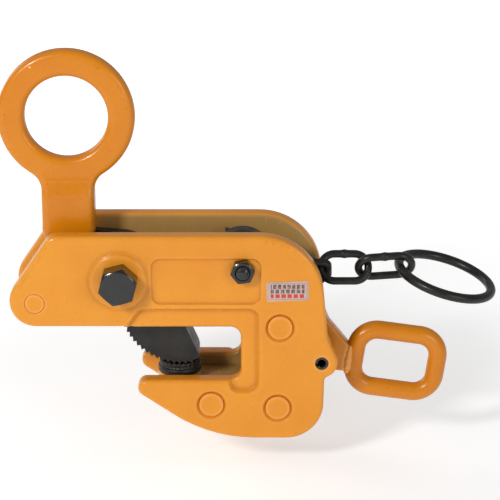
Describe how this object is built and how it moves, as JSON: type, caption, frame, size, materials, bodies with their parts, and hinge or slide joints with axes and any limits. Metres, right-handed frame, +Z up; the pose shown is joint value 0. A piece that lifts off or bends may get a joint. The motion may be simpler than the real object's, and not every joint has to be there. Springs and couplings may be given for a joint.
{
  "type": "plate lifting clamp",
  "caption": "Lateral plate lifting clamp with riveted side plates, toothed cam and swivel pad, lifting eye, release lever with chain and pull ring, and a hinged rod handle.",
  "frame": {"origin": "axis of the cam bolt, half way between the side plates", "axes": "+X away from the open side of the jaw, +Z up towards the lifting eye, Y across the plates"},
  "size_m": [0.3028, 0.089, 0.2384],
  "materials": {
    "orange_paint": "thick gloss paint over forged steel, slight orange peel",
    "plain_steel": "turned, lightly oiled",
    "black_oxide": "black oxide, semi-gloss",
    "forged_black": "heat-treated forging, dark graphite, satin",
    "chain_black": "blackened welded wire, satin",
    "bronze": "sintered bush, oiled",
    "sticker_film": "blank pale film label"
  },
  "bodies": {
    "frame": {"front_side_plate": "orange_paint", "rear_side_plate": "orange_paint", "jaw_spacer_block": "orange_paint", "side_rivets": "orange_paint", "rivet_spacers": "plain_steel", "lobe_rivet": "orange_paint", "lobe_stop_sleeve": "plain_steel", "cam_bolt": "black_oxide", "cam_lock_washer": "black_oxide", "cam_nut": "black_oxide", "cam_side_washers": "plain_steel", "lever_bolt": "black_oxide", "lever_nut": "black_oxide", "lever_spacers": "plain_steel", "closing_spring": "black_oxide", "handle_roll_pin": "black_oxide", "handle_spacers": "plain_steel", "pad_retaining_pin": "plain_steel", "rating_sticker": "sticker_film"},
    "cam": {"cam": "forged_black", "cam_bush": "bronze", "cam_drive_pin": "plain_steel"},
    "shackle_pin": {"shackle_pin": "plain_steel", "shackle_pin_rings": "black_oxide"},
    "lifting_eye": {"lifting_eye": "orange_paint"},
    "release_lever": {"release_lever": "forged_black", "lever_bush": "bronze"},
    "chain_link_inner": {"chain_link_inner": "chain_black"},
    "chain_link_outer": {"chain_link_outer": "chain_black"},
    "pull_ring": {"pull_ring": "chain_black"},
    "handle": {"handle_arm": "orange_paint", "handle_loop": "orange_paint"},
    "jaw_pad": {"jaw_pad": "forged_black"}
  },
  "joints": [
    {"name": "cam_pivot", "type": "hinge", "parent": "frame", "child": "cam", "pos_m": [0, 0, 0], "axis": [0, -1, 0], "range_deg": [0, 36]},
    {"name": "shackle_pin_turn", "type": "hinge", "parent": "cam", "child": "shackle_pin", "pos_m": [-0.0314, 0, 0.0102], "axis": [0, -1, 0], "range_deg": [-36.5, 0.5]},
    {"name": "lifting_eye_swing", "type": "hinge", "parent": "shackle_pin", "child": "lifting_eye", "pos_m": [-0.0314, 0, 0.0102], "axis": [0, -1, 0], "range_deg": [-8, 8]},
    {"name": "release_lever_turn", "type": "hinge", "parent": "frame", "child": "release_lever", "pos_m": [0.0744, 0, 0.0069], "axis": [0, -1, 0], "range_deg": [-12.8, 0.2]},
    {"name": "inner_link_swing", "type": "hinge", "parent": "release_lever", "child": "chain_link_inner", "pos_m": [0.1276, 0, -0.001], "axis": [0, -0.9135, 0.4067], "range_deg": [-20, 20]},
    {"name": "outer_link_swing", "type": "hinge", "parent": "chain_link_inner", "child": "chain_link_outer", "pos_m": [0.1515, 0, -0.001], "axis": [0, 0.5, 0.866], "range_deg": [-30, 30]},
    {"name": "pull_ring_swing", "type": "hinge", "parent": "chain_link_outer", "child": "pull_ring", "pos_m": [0.17812, 0, 0.00099], "axis": [-0.061, -0.4848, 0.8725], "range_deg": [-30, 30]},
    {"name": "handle_swing", "type": "hinge", "parent": "frame", "child": "handle", "pos_m": [0.1225, 0, -0.0529], "axis": [0, -1, 0], "range_deg": [-40, 15]},
    {"name": "jaw_pad_swivel", "type": "hinge", "parent": "frame", "child": "jaw_pad", "pos_m": [0.035, 0, -0.075], "axis": [0, 0, 1], "continuous": true}
  ],
  "couplings": [
    {"joint": "shackle_pin_turn", "follows": "cam_pivot", "ratio": -1},
    {"joint": "release_lever_turn", "follows": "cam_pivot", "ratio": -0.35167}
  ]
}
